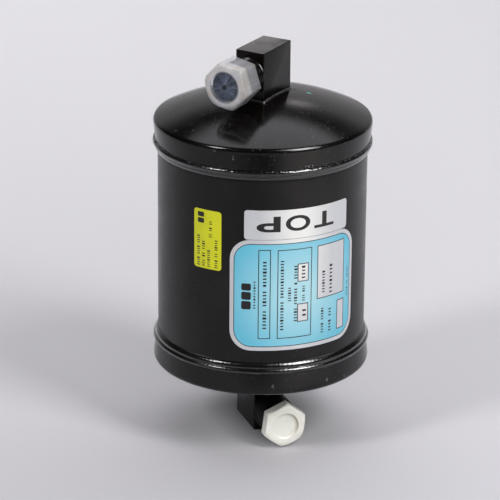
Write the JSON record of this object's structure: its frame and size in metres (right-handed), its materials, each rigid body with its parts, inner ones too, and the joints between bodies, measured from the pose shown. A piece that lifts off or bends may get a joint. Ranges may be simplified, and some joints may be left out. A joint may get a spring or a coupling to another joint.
{
  "type": "receiver drier",
  "caption": "Black welded steel can with domed ends and a threaded side port on a square block at each end; it stores, filters and dries the refrigerant of a vehicle air conditioner.",
  "frame": {"origin": "middle of the can, on its axis and half way between the two end blocks", "axes": "+Z along the can's axis towards the port under the translucent cap, which is up in the picture; -Y towards the viewer; +X to the picture's right"},
  "size_m": [0.1066, 0.1066, 0.195],
  "materials": {
    "can_paint": "gloss black",
    "cap_paint": "gloss black",
    "weld_paint": "gloss black over a rough bead",
    "block_paint": "satin black",
    "fitting_paint": "satin black",
    "clear_plastic": "milky, translucent",
    "white_plastic": "satin white",
    "data_print": "printed label, blue and white",
    "orientation_print": "printed label, white",
    "test_print": "printed label, yellow",
    "plate_steel": "bare sheet",
    "spring_steel": "drawn wire",
    "screen_steel": "bare sheet",
    "felt": "pressed felt",
    "drying_beads": "dull beads"
  },
  "bodies": {
    "can": {"shell": "can_paint", "upper_end_cap": "cap_paint", "lower_end_cap": "cap_paint", "upper_seam_weld": "weld_paint", "lower_seam_weld": "weld_paint", "upper_port_block": "block_paint", "lower_port_block": "block_paint", "upper_block_weld": "weld_paint", "lower_block_weld": "weld_paint", "upper_port_fitting": "fitting_paint", "lower_port_fitting": "fitting_paint", "upper_braze_ring": "fitting_paint", "lower_braze_ring": "fitting_paint", "data_label": "data_print", "orientation_label": "orientation_print", "test_label": "test_print", "inlet_plate": "plate_steel", "spring_plate": "plate_steel", "inlet_pad": "felt", "outlet_pad": "felt", "drying_bed": "drying_beads", "bed_spring": "spring_steel", "outlet_screen": "screen_steel"},
    "clear_cap": {"clear_shipping_cap": "clear_plastic"},
    "white_cap": {"white_shipping_cap": "white_plastic"}
  },
  "joints": [
    {"name": "clear_cap_slide", "type": "slide", "parent": "can", "child": "clear_cap", "axis": [-0.4863, -0.8738, 0], "range_m": [0, 0.03]},
    {"name": "white_cap_slide", "type": "slide", "parent": "can", "child": "white_cap", "axis": [0.3338, -0.9426, 0], "range_m": [0, 0.03]}
  ]
}
